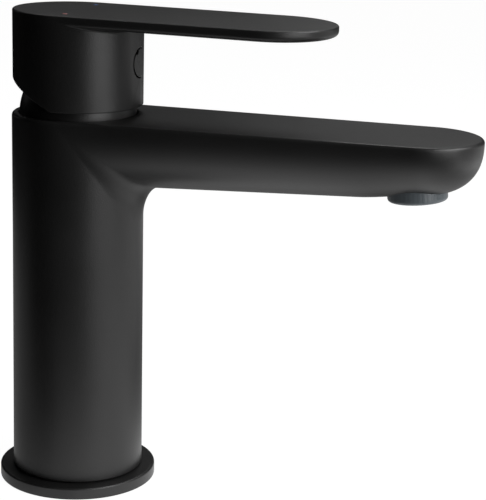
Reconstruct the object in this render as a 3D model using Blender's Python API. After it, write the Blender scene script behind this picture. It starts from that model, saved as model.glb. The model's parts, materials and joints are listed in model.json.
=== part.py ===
"""Single-lever basin mixer tap: cast body with spout, ceramic-disc cartridge, lever and aerator.

Metres, +Z up. The origin is the centre of the base flange's underside, +X runs along the spout
and -Y is the hot side. The lever is drawn closed and centred, resting on its lower stop.
"""
import math

import bmesh
import bpy
from mathutils import Matrix, Vector

# ---------------------------------------------------------------- driving dimensions, metres
GAP = 0.0003                    # clearance left between two pieces that touch
LARGE, MEDIUM, SMALL = 56, 32, 16   # sides of a turned piece, by size

BODY_R = 0.0225                 # 45 mm column
FOOT_R = 0.0228                 # the casting's draft widens the foot
BODY_TOP = 0.1307
FLANGE_R, FLANGE_H = 0.0274, 0.0041

SPOUT_REACH = 0.1183            # axis of the spout's round end
SPOUT_END_R = 0.0201
SPOUT_SLOPE = 0.0019            # rise of the flat top along +X
SPOUT_FULLNESS, SPOUT_TIP_FULLNESS = 2.0, 2.55  # 2 is an ellipse, more is squarer
SPOUT_EDGE_R = 0.0012
SPOUT_FILLET = (0.0077, 0.0141)     # along the spout, down the column below its middle
FILLET_EASE = 0.5               # how much less it reaches down at the spout's sides
KEEL_Z, KEEL_SLOPE = 0.1057, 0.0403
KEEL_RISE, KEEL_RISE_FROM, KEEL_RISE_TO = 0.0016, 0.0986, 0.1222

PIVOT_Z = 0.1302                # lever pivot and centre of the dome cover
DOME_R = 0.0199
REST_TILT = math.radians(12.5)  # the spindle leans forward when the lever is closed
SPINDLE_UP, SPINDLE_DOWN = 0.025, 0.012

HUB_R = 0.0221
HUB_BOTTOM = 0.1337
LEVER_TOP = 0.1654
LEVER_REACH = 0.0669            # axis of the lever's round end
LEVER_SLOPE = -0.0102           # the flat top falls slightly along +X
LEVER_EDGE = 0.0044             # thickness at the rim
LEVER_FULLNESS = 5.0
LEVER_EDGE_R = 0.0006
LEVER_FILLET = (0.0016, 0.0016)
RELIEF_X, RELIEF_ANGLE = -0.0015, math.radians(26.0)   # cut-back that lets the lever rise
PLUG_Z, PLUG_R = 0.1487, 0.0049
DOT_X, DOT_Y, DOT_R = 0.0008, 0.0144, 0.0009

CAVITY_R, CAVITY_TOP = 0.0196, 0.074    # open hollow for the hoses and the stud
CHAMBER_FLOOR, CHAMBER_R = 0.092, 0.0178
LEDGE_Z, NUT_BORE_R = 0.1165, 0.0189    # the chamber widens here for the nut
COVER_SEAT_Z = 0.1249           # and here for the dome cover
PORT_X, PORT_Y = 0.006, 0.0063  # the two inlets, hot at -Y
LUG_X, LUG_Y, LUG_R = -0.0095, 0.009, 0.0014    # pegs that hold the cartridge's base
OUTLET_X = -0.0065
# heights of the cartridge's stack, from the bottom up
BASE_Z, BASE_TOP = 0.0935, 0.0975
FIXED_DISC_TOP, MOVING_DISC_TOP = 0.1015, 0.1053
CARRIER_SHOULDER, CARRIER_TOP = 0.1087, 0.1210
ROTOR_Z, ROTOR_SHOULDER, ROTOR_NECK, ROTOR_TOP = 0.1090, 0.1150, 0.1247, 0.1340
HOUSING_LEDGE, HOUSING_LID, HOUSING_TOP = 0.1164, 0.1250, 0.1275
NUT_Z, NUT_SHOULDER, NUT_TOP = 0.1193, 0.1246, 0.1283

PIN_R, PIN_BORE_R = 0.0015, 0.0018
SPINDLE_HALF = 0.0035           # half the spindle's square
SCREW_BORE_R, SCREW_END = 0.0025, 0.0182    # clamping screw's bore, which ends at the cap's recess

AERATOR_AT = Vector((0.1179, 0.0, 0.1099))   # centre of the outlet's rim
AERATOR_TILT = math.radians(5.0)            # the outlet looks slightly forward
AERATOR_R = 0.0099


# ---------------------------------------------------------------- helpers
def material(name, colour, roughness, metallic):
    made = bpy.data.materials.new(name)
    made.use_nodes = True
    shader = made.node_tree.nodes["Principled BSDF"]
    shader.inputs["Base Color"].default_value = (*colour, 1.0)
    shader.inputs["Roughness"].default_value = roughness
    shader.inputs["Metallic"].default_value = metallic
    return made


def add_object(name, bm, finish=None, at=(0, 0, 0), turn=(0, 0, 0)):
    """Closes the mesh's seams, turns its faces outwards and links it as an object."""
    bmesh.ops.remove_doubles(bm, verts=bm.verts, dist=1e-6)
    bmesh.ops.recalc_face_normals(bm, faces=bm.faces)
    mesh = bpy.data.meshes.new(name)
    bm.to_mesh(mesh)
    bm.free()
    made = bpy.data.objects.new(name, mesh)
    bpy.context.collection.objects.link(made)
    made.location = at
    made.rotation_euler = turn
    if finish:
        mesh.materials.append(finish)
    mesh.shade_smooth()
    mesh.set_sharp_from_angle(angle=math.radians(35))
    return made


def cutter(name, bm, at=(0, 0, 0), turn=(0, 0, 0)):
    made = add_object(name, bm, None, at, turn)
    made.hide_render = True
    made.display_type = "WIRE"
    return made


def combine(target, tool, operation="DIFFERENCE"):
    modifier = target.modifiers.new(tool.name, "BOOLEAN")
    modifier.operation = operation
    modifier.solver = "EXACT"
    modifier.object = tool


def joint_axis(name, at, parent=None):
    axis = bpy.data.objects.new(name, None)
    bpy.context.collection.objects.link(axis)
    axis.empty_display_size = 0.01
    axis.location = Vector(at) - (parent.location if parent else Vector())
    axis.parent = parent
    return axis


def ride(axis, at, *pieces):
    """Parents the pieces to an axis that stands at the world point, leaving them in place."""
    for piece in pieces:
        piece.parent = axis
        piece.matrix_parent_inverse = Matrix.Translation(at).inverted()


def sheet(bm, rows):
    """Quads between neighbouring rows of points."""
    grid = [[bm.verts.new(point) for point in row] for row in rows]
    for row, following in zip(grid, grid[1:]):
        for i in range(len(row) - 1):
            bm.faces.new((row[i], row[i + 1], following[i + 1], following[i]))


def turned(outline, sides=MEDIUM):
    """The closed (radius, height) outline turned about Z."""
    bm = bmesh.new()
    rings = []
    for radius, height in outline:
        if radius == 0:
            rings.append([bm.verts.new((0, 0, height))] * sides)
            continue
        angles = [2 * math.pi * i / sides for i in range(sides)]
        rings.append([bm.verts.new((radius * math.cos(a), radius * math.sin(a), height)) for a in angles])
    for ring, following in zip(rings, rings[1:] + rings[:1]):
        for i in range(sides):
            j = (i + 1) % sides
            corners = dict.fromkeys((ring[i], ring[j], following[j], following[i]))
            if len(corners) > 2:
                bm.faces.new(list(corners))
    return bm


def rod(radius, low, high, sides=SMALL):
    return turned([(0, low), (radius, low), (radius, high), (0, high)], sides)


def ring(inner, outer, low, high, sides=MEDIUM):
    return turned([(inner, low), (outer, low), (outer, high), (inner, high)], sides)


def block(low, high):
    bm = bmesh.new()
    bmesh.ops.create_cube(bm, size=1.0)
    low, high = Vector(low), Vector(high)
    bmesh.ops.scale(bm, vec=high - low, verts=bm.verts)
    bmesh.ops.translate(bm, vec=(low + high) / 2, verts=bm.verts)
    return bm


def merged(*meshes):
    """One mesh that holds several separate closed shapes."""
    bm = bmesh.new()
    for part in meshes:
        scratch = bpy.data.meshes.new("scratch")
        part.to_mesh(scratch)
        part.free()
        bm.from_mesh(scratch)
        bpy.data.meshes.remove(scratch)
    return bm


def moved(bm, offset):
    bmesh.ops.translate(bm, vec=offset, verts=bm.verts)
    return bm


ALONG_X = (0, math.pi / 2, 0)
ALONG_Y = (math.pi / 2, 0, 0)


# ---------------------------------------------------------------- column with an arm
def section_share(turn, fullness):
    """Signed width share and depth share of an arm's rounded underside, turn from 0 to pi."""
    width, depth = math.cos(turn), math.sin(turn)
    return (math.copysign(abs(width) ** (2 / fullness), width), abs(depth) ** (2 / fullness))


def armed_column(column_r, top, slope, reach, end_r, edge_r, keel, fullness, tip_fullness, fillet, below,
                 lines=14, stations=7, bends=4, end_turns=12, back_turns=22, rims=2):
    """A round column whose flat top runs out into a round-ended arm along +X.

    slope is the top's rise along +X, from the height top on the axis. The arm's underside is a
    keel line with rounded sections, whose fullness turns into tip_fullness at the arm's tip. A
    fillet of two radii, along the arm and down the column, joins it to the column wall. Its
    reach down the column eases off by the share FILLET_EASE towards the arm's sides. below
    lists the column's lower rings as (radius, height), and the last one is closed.
    """
    lean = math.asin((column_r - end_r) / reach)
    out, full_down = fillet

    def shoulder(x):
        return top - edge_r + slope * x

    def depth_at(x):
        return shoulder(x) - keel(x)

    def column_line(angle, start):
        rings = [(column_r, start)] + below
        return [(r * math.cos(angle), r * math.sin(angle), z) for r, z in rings]

    def arm_line(turn):
        """One line of the skin: from the round end to the fillet, round it and down the column."""
        width, depth = section_share(turn, fullness)
        share = abs(width)
        side = Vector((math.sin(lean), math.copysign(math.cos(lean), width)))
        start = side * column_r * share
        step = (Vector((reach, 0)) + side * end_r * share - start) / reach
        down = full_down * (1 - FILLET_EASE * share * share)
        across = share ** (fullness - 1) / column_r
        under = depth ** (fullness - 1) / (depth_at(column_r) * out / down)
        across, under = Vector((across, under)).normalized()
        offset = side * (column_r * share + out * across)
        along = offset.dot(step)
        root = along ** 2 + step.length_squared * ((column_r + out) ** 2 - offset.length_squared)
        contact = (math.sqrt(max(root, 0.0)) - along) / step.length_squared
        points = []
        for i in range(stations + 1):
            at = start + step * (reach + (contact - reach) * i / stations)
            points.append((at.x, at.y, shoulder(at.x) - depth_at(at.x) * depth))
        foot = start + step * contact
        centre = offset + step * contact
        centre_z = shoulder(foot.x) - depth_at(foot.x) * depth - down * under
        wall = centre.normalized()
        first = Vector((-across * side.x, -across * side.y, under))
        last = Vector((-wall.x, -wall.y, 0))
        swing = first.angle(last)
        for i in range(1, bends + 1):
            if swing < 1e-4:
                arm = last
            else:
                share_first = math.sin(swing * (1 - i / bends)) / math.sin(swing)
                share_last = math.sin(swing * i / bends) / math.sin(swing)
                arm = first * share_first + last * share_last
            points.append((centre.x + out * arm.x, centre.y + out * arm.y, centre_z + down * arm.z))
        return points + column_line(math.atan2(wall.y, wall.x), centre_z)[1:]

    def end_ring(turn):
        """The same line carried round the arm's end."""
        points = []
        for i in range(end_turns + 1):
            angle = (math.pi / 2 - lean) * (1 - 2 * i / end_turns)
            tip_share = math.cos(angle) ** 2
            width, depth = section_share(turn, fullness + (tip_fullness - fullness) * tip_share)
            x = reach + end_r * width * math.cos(angle)
            points.append((x, end_r * width * math.sin(angle), shoulder(x) - depth_at(x) * depth))
        return points

    turns = [math.pi * i / lines for i in range(lines + 1)]
    arm = [arm_line(turn) for turn in turns]
    ends = [end_ring(turn) for turn in turns[:lines // 2]]
    ends.append([(reach, 0, keel(reach))] * (end_turns + 1))
    back_angles = [math.pi / 2 - lean + (math.pi + 2 * lean) * i / back_turns for i in range(back_turns + 1)]
    back = [column_line(angle, shoulder(column_r * math.cos(angle))) for angle in back_angles]

    # the outline at the shoulder, anticlockwise from the start of the back, with its outward normals
    outline = [(Vector(p[:2]), Vector(p[:2]).normalized()) for p in (line[0] for line in back)]
    right = Vector((math.sin(lean), -math.cos(lean)))
    left = Vector((math.sin(lean), math.cos(lean)))
    outline += [(Vector(p[:2]), right) for p in reversed(arm[-1][:stations])]
    outline += [(Vector(p[:2]), (Vector(p[:2]) - Vector((reach, 0))).normalized())
                for p in reversed(ends[0][:-1])]
    outline += [(Vector(p[:2]), left) for p in arm[0][1:stations]]
    rim_rows = []
    for i in range(rims + 1):
        angle = math.pi / 2 * i / rims
        inset, rise = edge_r * (1 - math.cos(angle)), edge_r * math.sin(angle)
        edge = [(point - normal * inset, shoulder(point.x) + rise) for point, normal in outline]
        row = [(at.x, at.y, height) for at, height in edge]
        rim_rows.append(row + row[:1])

    bm = bmesh.new()
    sheet(bm, arm)
    sheet(bm, ends)
    sheet(bm, back)
    sheet(bm, rim_rows)
    bm.faces.new([bm.verts.new(point) for point in rim_rows[-1][:-1]])
    bottom = [line[-1] for line in arm] + [line[-1] for line in reversed(back[1:-1])]
    bm.faces.new([bm.verts.new(point) for point in bottom])
    bmesh.ops.remove_doubles(bm, verts=bm.verts, dist=1e-6)
    return bm


def spout_keel(x):
    """Height of the spout's lowest line: a slow rise, then a quicker one under the aerator."""
    share = min(max((x - KEEL_RISE_FROM) / (KEEL_RISE_TO - KEEL_RISE_FROM), 0.0), 1.0)
    return KEEL_Z + KEEL_SLOPE * x + KEEL_RISE * share * share * (3 - 2 * share)


def lever_keel(x):
    return LEVER_TOP - LEVER_EDGE + LEVER_SLOPE * x


def oval_duct(stations, sides=16):
    """A closed duct through (x, centre height, half height, half width) ovals."""
    rows = []
    for x, centre, half_height, half_width in stations:
        angles = [2 * math.pi * i / sides for i in range(sides + 1)]
        rows.append([(x, half_width * math.cos(a), centre + half_height * math.sin(a)) for a in angles])
    bm = bmesh.new()
    sheet(bm, rows)
    for row in (rows[0], rows[-1]):
        bm.faces.new([bm.verts.new(point) for point in row[:-1]])
    bmesh.ops.remove_doubles(bm, verts=bm.verts, dist=1e-6)
    return bm


# ---------------------------------------------------------------- body, flange and spout
def build_body(black, rubber):
    spigot_r = 0.0214
    below = [(BODY_R, 0.088), (FOOT_R, 0.005), (FOOT_R - 0.0005, FLANGE_H + GAP),
             (spigot_r, FLANGE_H + GAP), (spigot_r, 0.0012)]
    skin = armed_column(BODY_R, BODY_TOP, SPOUT_SLOPE, SPOUT_REACH, SPOUT_END_R, SPOUT_EDGE_R, spout_keel,
                        SPOUT_FULLNESS, SPOUT_TIP_FULLNESS, SPOUT_FILLET, below)
    body = add_object("body_casting", skin, black)

    above, below_base = BODY_TOP + 0.004, -0.001
    top_bore = turned([(0, CHAMBER_FLOOR), (CHAMBER_R, CHAMBER_FLOOR), (CHAMBER_R, LEDGE_Z),
                       (NUT_BORE_R, LEDGE_Z), (NUT_BORE_R, COVER_SEAT_Z), (DOME_R + GAP, COVER_SEAT_Z),
                       (DOME_R + GAP, above), (0, above)], LARGE)
    combine(body, cutter("top_bore", top_bore))
    chamfer = 0.004
    cavity = turned([(0, below_base), (CAVITY_R, below_base), (CAVITY_R, CAVITY_TOP - chamfer),
                     (CAVITY_R - chamfer, CAVITY_TOP), (0, CAVITY_TOP)], LARGE)
    combine(body, cutter("base_cavity", cavity))

    socket_r, inlet_r, shoulder_z = 0.0046, 0.0032, 0.085
    start, end = CAVITY_TOP - 0.004, CHAMBER_FLOOR + 0.002
    hose_port = [(0, start), (socket_r, start), (socket_r, shoulder_z),
                 (inlet_r, shoulder_z + socket_r - inlet_r), (inlet_r, end), (0, end)]
    ports = [moved(turned(hose_port, SMALL), (PORT_X, side * PORT_Y, 0)) for side in (-1, 1)]
    stud_socket = moved(rod(0.0034, start, 0.086), (-0.010, 0, 0))
    lug_floor = CHAMBER_FLOOR - 0.0026
    lug_holes = [moved(rod(LUG_R + 0.0004, lug_floor, end), (LUG_X, side * LUG_Y, 0)) for side in (-1, 1)]
    combine(body, cutter("floor_holes", merged(*ports, stud_socket, *lug_holes)))

    duct = oval_duct([(0.015, 0.109, 0.0035, 0.008), (0.024, 0.1105, 0.0038, 0.009),
                      (0.028, 0.1142, 0.0046, 0.0105), (0.036, 0.1186, 0.0076, 0.014),
                      (0.098, 0.1203, 0.0070, 0.015), (0.108, 0.1240, 0.0036, 0.012),
                      (0.128, 0.1246, 0.0032, 0.008)])
    combine(body, cutter("waterway", duct))
    start, seat_z, throat_r, end = -0.004, 0.0096, 0.0078, 0.0135
    seat = turned([(0, start), (AERATOR_R + GAP, start), (AERATOR_R + GAP, seat_z),
                   (throat_r, seat_z), (throat_r, end), (0, end)], MEDIUM)
    combine(body, cutter("aerator_seat", seat, AERATOR_AT, (0, -AERATOR_TILT, 0)))

    bore_r, groove_inner, groove_outer, groove_top = spigot_r + GAP, 0.0229, 0.0250, 0.0016
    foot_edge, top_edge = 0.0003, 0.0006
    add_object("base_flange", turned([
        (bore_r, 0), (groove_inner, 0), (groove_inner, groove_top), (groove_outer, groove_top),
        (groove_outer, 0), (FLANGE_R - foot_edge, 0), (FLANGE_R, foot_edge),
        (FLANGE_R, FLANGE_H - top_edge), (FLANGE_R - top_edge, FLANGE_H), (bore_r, FLANGE_H)], LARGE), black)
    gasket = ring(groove_inner + GAP, groove_outer - GAP, 0, groove_top - GAP, LARGE)
    add_object("base_gasket", gasket, rubber)


# ---------------------------------------------------------------- cartridge, fixed pieces
def port_holes(hole, outlet_r, low, high):
    """Cutting shape with the outline hole at both inlets and a round outlet."""
    ports = [moved(turned(hole, SMALL), (PORT_X, side * PORT_Y, 0)) for side in (-1, 1)]
    return merged(*ports, moved(rod(outlet_r, low, high), (OUTLET_X, 0, 0)))


def build_cartridge(plastic, ceramic, rubber, brass, red_plastic):
    base = add_object("cartridge_base", rod(0.0160, BASE_Z, BASE_TOP, MEDIUM), plastic)
    lug_z, lug_end = CHAMBER_FLOOR - 0.0022, BASE_Z + 0.0015
    lugs = [moved(rod(LUG_R, lug_z, lug_end), (LUG_X, side * LUG_Y, 0)) for side in (-1, 1)]
    combine(base, cutter("base_lugs", merged(*lugs)), "UNION")
    recess_r, recess_top, passage_r = 0.0053, 0.0952, 0.0028
    start, end = BASE_Z - 0.0035, BASE_TOP + 0.0015
    recess = [(0, start), (recess_r, start), (recess_r, recess_top), (passage_r, recess_top),
              (passage_r, end), (0, end)]
    combine(base, cutter("base_ports", port_holes(recess, 0.0040, start, end)))

    for name, side in (("hot_inlet_seal", -1), ("cold_inlet_seal", 1)):
        seal = ring(0.0031, recess_r - GAP, CHAMBER_FLOOR + GAP, recess_top - GAP, SMALL)
        add_object(name, seal, rubber, (PORT_X, side * PORT_Y, 0))

    disc_z = BASE_TOP + GAP
    disc = add_object("fixed_ceramic_disc", rod(0.0143, disc_z, FIXED_DISC_TOP, MEDIUM), ceramic)
    inlet_r, start, end = 0.0024, disc_z - 0.0018, FIXED_DISC_TOP + 0.0015
    inlet = [(0, start), (inlet_r, start), (inlet_r, end), (0, end)]
    combine(disc, cutter("disc_ports", port_holes(inlet, 0.0036, start, end)))

    # the housing stands on the base, with a groove for its O-ring and a lid round the rotor's neck
    bore_r, wall_r, flange_r, groove_r = 0.0146, 0.0162, 0.0175, 0.0160
    neck_r, tube_r, lid_r = 0.0144, 0.0120, 0.0110
    flange_z, groove_z, housing_shoulder = 0.1128, 0.1139, 0.1190
    add_object("cartridge_housing", turned([
        (bore_r, disc_z), (wall_r, disc_z), (wall_r, flange_z), (flange_r, flange_z),
        (flange_r, groove_z), (groove_r, groove_z), (groove_r, LEDGE_Z), (flange_r, LEDGE_Z),
        (flange_r, housing_shoulder), (neck_r, housing_shoulder), (neck_r, HOUSING_TOP),
        (lid_r, HOUSING_TOP), (lid_r, HOUSING_LID), (tube_r, HOUSING_LID), (tube_r, HOUSING_LEDGE),
        (bore_r, HOUSING_LEDGE)]), plastic)
    cord_r, mean_r, ring_z = 0.0006, 0.0169, (groove_z + LEDGE_Z) / 2
    circle = [(mean_r + cord_r * math.cos(math.pi * i / 4), ring_z + cord_r * math.sin(math.pi * i / 4))
              for i in range(8)]
    add_object("cartridge_o_ring", turned(circle), rubber)
    washer = ring(tube_r + GAP, 0.0142, ROTOR_SHOULDER + GAP, HOUSING_LEDGE - GAP)
    add_object("slip_washer", washer, red_plastic)

    inner_r, outer_r, collar_r = 0.0148, 0.0186, 0.0172
    nut = add_object("cartridge_nut", turned([
        (inner_r, NUT_Z), (outer_r, NUT_Z), (outer_r, NUT_SHOULDER), (collar_r, NUT_SHOULDER),
        (collar_r, NUT_TOP), (inner_r, NUT_TOP)], MEDIUM), brass)
    near, far, half, low, high = 0.012, 0.020, 0.0016, NUT_TOP - 0.0021, NUT_TOP + 0.0017
    slots = [block((near, -half, low), (far, half, high)), block((-far, -half, low), (-near, half, high)),
             block((-half, near, low), (half, far, high)), block((-half, -far, low), (half, -near, high))]
    combine(nut, cutter("spanner_slots", merged(*slots)))

    limit_z, limit_top = HOUSING_TOP + GAP, 0.1292
    limit = add_object("hot_limit_ring", ring(0.0112, 0.0138, limit_z, limit_top), red_plastic)
    gap = block((-0.016, -0.002, limit_z - 0.0008), (-0.010, 0.002, limit_top + 0.0018))
    combine(limit, cutter("limit_gap", gap))


def build_dome(black):
    """The ball-shaped cover: part of a sphere with a short skirt, open at the top for the hub's post."""
    lip, skirt_z = math.radians(38.7), COVER_SEAT_Z + GAP
    inner_r = DOME_R - 0.0016
    inner_lip = math.asin(DOME_R * math.sin(lip) / inner_r)
    outer_turns = [lip + (math.pi / 2 - lip) * i / 6 for i in range(7)]
    inner_turns = [math.pi / 2 + (inner_lip - math.pi / 2) * i / 3 for i in range(4)]
    outer = [(DOME_R * math.sin(a), PIVOT_Z + DOME_R * math.cos(a)) for a in outer_turns]
    inner = [(inner_r * math.sin(a), PIVOT_Z + inner_r * math.cos(a)) for a in inner_turns]
    add_object("dome_cover", turned(outer + [(DOME_R, skirt_z), (inner_r, skirt_z)] + inner, 48), black)


# ---------------------------------------------------------------- aerator
def build_aerator(grey_plastic, steel, rubber):
    """Heights here run up from the outlet's rim, along the aerator's own axis."""
    place = (AERATOR_AT, (0, -AERATOR_TILT, 0))
    bore_r, ring_top = 0.0084, 0.0075
    rim = [(0.0088, 0), (0.0092, 0.0001), (0.0097, 0.0007), (AERATOR_R, 0.0016)]
    housing = turned([(bore_r, 0.0005)] + rim + [(AERATOR_R, ring_top), (bore_r, ring_top)], 40)
    add_object("aerator_housing", housing, grey_plastic, *place)

    insert_r, cup_r = bore_r - GAP, 0.0069
    face_z, floor_z, cup_top = 0.0009, 0.0024, 0.0066
    insert = add_object("aerator_insert", turned([
        (0, face_z), (insert_r, face_z), (insert_r, cup_top), (cup_r, cup_top), (cup_r, floor_z),
        (0, floor_z)], MEDIUM), grey_plastic, *place)
    jet_r, above = 0.0009, 0.004
    holes = [rod(jet_r, 0, above, 8)]
    for count, circle_r in ((6, 0.0028), (12, 0.0054)):
        angles = [2 * math.pi * i / count for i in range(count)]
        holes += [moved(rod(jet_r, 0, above, 8), (circle_r * math.cos(a), circle_r * math.sin(a), 0))
                  for a in angles]
    combine(insert, cutter("jet_holes", merged(*holes), *place))
    add_object("aerator_screen", rod(insert_r, cup_top + GAP, 0.0073, MEDIUM), steel, *place)
    add_object("aerator_washer", ring(0.0082, 0.0098, ring_top + GAP, 0.0093), rubber, *place)


# ---------------------------------------------------------------- moving pieces
def build_rotor(axis, plastic, steel):
    disc_r, tube_r, neck_r = 0.0142, 0.0116, 0.0106
    rotor = add_object("rotor", turned([
        (0, ROTOR_Z), (disc_r, ROTOR_Z), (disc_r, ROTOR_SHOULDER), (tube_r, ROTOR_SHOULDER),
        (tube_r, ROTOR_NECK), (neck_r, ROTOR_NECK), (neck_r, ROTOR_TOP), (0, ROTOR_TOP)]), plastic)
    slot_top = CARRIER_TOP + 0.0006
    carrier_slot = block((-0.0078, -0.0052, ROTOR_Z - 0.002), (0.0078, 0.0052, slot_top))
    spindle_slot = block((-0.0058, -0.0038, slot_top - 0.0006), (0.0058, 0.0038, ROTOR_TOP + 0.002))
    combine(rotor, cutter("carrier_slot", carrier_slot))
    combine(rotor, cutter("spindle_slot", spindle_slot))
    pivot = Vector((0, 0, PIVOT_Z))
    combine(rotor, cutter("pin_hole", rod(PIN_BORE_R, -0.015, 0.015), pivot, ALONG_Y))
    pin = add_object("pivot_pin", rod(PIN_R, -0.0102, 0.0102), steel, pivot, ALONG_Y)
    ride(axis, pivot, rotor, pin)


def build_slider(axis, plastic, ceramic):
    """The carrier and the disc it drives, pushed along X by the spindle's ball end."""
    at = Vector((-SPINDLE_DOWN * math.sin(REST_TILT), 0, 0))
    plate_r, socket_outer, socket_bore, socket_floor = 0.0095, 0.0048, 0.0030, 0.1120
    plate_z = MOVING_DISC_TOP + GAP
    carrier = add_object("disc_carrier", turned([
        (0, plate_z), (plate_r, plate_z), (plate_r, CARRIER_SHOULDER), (socket_outer, CARRIER_SHOULDER),
        (socket_outer, CARRIER_TOP), (socket_bore, CARRIER_TOP), (socket_bore, socket_floor),
        (0, socket_floor)], 24), plastic, at)
    disc_z = FIXED_DISC_TOP + GAP
    disc = add_object("moving_ceramic_disc", rod(0.0100, disc_z, MOVING_DISC_TOP, MEDIUM), ceramic, at)
    pocket = rod(0.0056, disc_z - 0.0018, disc_z + 0.0020, 20)
    combine(disc, cutter("mixing_pocket", pocket, at + Vector((-0.0006, 0, 0))))
    ride(axis, Vector((0, 0, PIVOT_Z)), carrier, disc)


def build_spindle(steel):
    """Heights here run from the pivot, along the spindle's own axis."""
    ball_r, stem_r, stem_end, square_z = 0.0026, 0.0019, -0.004, -0.006
    neck = math.asin(stem_r / ball_r)
    ball = [(ball_r * math.sin(a), -SPINDLE_DOWN - ball_r * math.cos(a)) for a in
            ((math.pi - neck) * i / 7 for i in range(8))]
    stem = turned([(0, ball[0][1])] + ball[1:] + [(stem_r, stem_end), (0, stem_end)], SMALL)
    pivot, tilt = Vector((0, 0, PIVOT_Z)), (0, REST_TILT, 0)
    square = block((-SPINDLE_HALF, -SPINDLE_HALF, square_z), (SPINDLE_HALF, SPINDLE_HALF, SPINDLE_UP))
    spindle = add_object("spindle", square, steel, pivot, tilt)
    combine(spindle, cutter("ball_stem", stem, pivot, tilt), "UNION")
    combine(spindle, cutter("spindle_pin_hole", rod(PIN_BORE_R, -0.006, 0.006), pivot, ALONG_Y))
    return spindle


def build_handle(black):
    """The lever with its hub, which is hollow but for a spindle socket and a screw boss."""
    pivot, tilt = Vector((0, 0, PIVOT_Z)), (0, REST_TILT, 0)
    below = [(HUB_R, HUB_BOTTOM + 0.0004), (HUB_R - 0.0003, HUB_BOTTOM)]
    skin = armed_column(HUB_R, LEVER_TOP, LEVER_SLOPE, LEVER_REACH, HUB_R, LEVER_EDGE_R, lever_keel,
                        LEVER_FULLNESS, LEVER_FULLNESS, LEVER_FILLET, below,
                        stations=5, bends=3, lines=16)
    handle = add_object("lever_handle", skin, black)

    clear_r, ceiling = DOME_R + 0.0006, 0.1610
    hollow = cutter("hub_hollow", rod(clear_r, HUB_BOTTOM - 0.0027, ceiling, LARGE))
    post = cutter("socket_post", rod(0.0068, 0.0105, 0.034, MEDIUM), pivot, tilt)
    boss = cutter("screw_boss", rod(0.0069, 0.002, HUB_R - 0.0006, MEDIUM), (0, 0, PLUG_Z), ALONG_X)
    half_circle = [math.pi * i / 16 for i in range(16)]
    ball = [(clear_r * math.sin(a), clear_r * math.cos(a)) for a in half_circle] + [(0, -clear_r)]
    combine(boss, cutter("dome_space", turned(ball, MEDIUM), pivot))
    combine(hollow, post)
    combine(hollow, boss)
    combine(handle, hollow)

    relief = block((-0.040, -0.030, -0.020), (0, 0.030, 0))
    combine(handle, cutter("rear_relief", relief, (RELIEF_X, 0, HUB_BOTTOM), (0, RELIEF_ANGLE, 0)))
    half, socket_z = SPINDLE_HALF + GAP, 0.009
    socket = block((-half, -half, socket_z), (half, half, SPINDLE_UP + GAP))
    combine(handle, cutter("spindle_socket", socket, pivot, tilt))
    inner_end, outer_end, recess_r = 0.005, 0.026, PLUG_R + GAP
    screw_path = turned([(0, inner_end), (SCREW_BORE_R, inner_end), (SCREW_BORE_R, SCREW_END),
                         (recess_r, SCREW_END), (recess_r, outer_end), (0, outer_end)], 24)
    combine(handle, cutter("screw_path", screw_path, (0, 0, PLUG_Z), ALONG_X))
    well_floor, well_end = LEVER_TOP - 2 * GAP, LEVER_TOP + 0.001
    wells = [moved(rod(DOT_R + GAP, well_floor, well_end), (DOT_X, side * DOT_Y, 0)) for side in (-1, 1)]
    combine(handle, cutter("dot_wells", merged(*wells)))
    return handle


def build_lever(axis, black, steel, red, blue):
    tip, bevel_end, head = 0.0082, 0.0093, 0.0172
    tip_r, screw_r, key_r, key_floor = 0.0011, SCREW_BORE_R - GAP, 0.0013, 0.0147
    screw = add_object("grub_screw", turned([
        (0, tip), (tip_r, tip), (screw_r, bevel_end), (screw_r, head), (key_r, head),
        (key_r, key_floor), (0, key_floor)], 12), steel, (0, 0, PLUG_Z), ALONG_X)
    plug = add_object("plug_cap", rod(PLUG_R, SCREW_END + GAP, 0.024, 32), black, (0, 0, PLUG_Z), ALONG_X)
    curve = rod(HUB_R + 0.0001, HUB_BOTTOM - 0.01, LEVER_TOP + 0.01, 96)
    combine(plug, cutter("plug_curve", curve), "INTERSECT")
    dots = []
    for name, side, colour in (("hot_dot", -1, red), ("cold_dot", 1, blue)):
        dot = rod(DOT_R, LEVER_TOP - GAP, LEVER_TOP)
        dots.append(add_object(name, dot, colour, (DOT_X, side * DOT_Y, 0)))
    ride(axis, Vector((0, 0, PIVOT_Z)), build_handle(black), build_spindle(steel), screw, plug, *dots)


# ---------------------------------------------------------------- assembly
def build():
    for old in list(bpy.data.objects):
        bpy.data.objects.remove(old)
    black = material("matt_black", (0.018, 0.018, 0.019), 0.42, 0.0)
    rubber = material("rubber", (0.02, 0.02, 0.02), 0.8, 0.0)
    plastic = material("white_plastic", (0.72, 0.72, 0.70), 0.5, 0.0)
    ceramic = material("ceramic", (0.85, 0.84, 0.80), 0.2, 0.0)
    brass = material("brass", (0.72, 0.53, 0.25), 0.3, 1.0)
    steel = material("steel", (0.62, 0.62, 0.64), 0.3, 1.0)
    grey_plastic = material("grey_plastic", (0.24, 0.27, 0.29), 0.4, 0.0)
    red = material("red", (0.55, 0.09, 0.08), 0.5, 0.0)
    blue = material("blue", (0.07, 0.16, 0.42), 0.5, 0.0)

    build_body(black, rubber)
    build_cartridge(plastic, ceramic, rubber, brass, red)
    build_dome(black)
    build_aerator(grey_plastic, steel, rubber)
    pivot = Vector((0, 0, PIVOT_Z))
    swivel_axis = joint_axis("swivel_axis", pivot)
    lift_axis = joint_axis("lift_axis", pivot, swivel_axis)
    slide_axis = joint_axis("slide_axis", pivot, swivel_axis)
    build_rotor(swivel_axis, plastic, steel)
    build_slider(slide_axis, plastic, ceramic)
    build_lever(lift_axis, black, steel, red, blue)


build()
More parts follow.
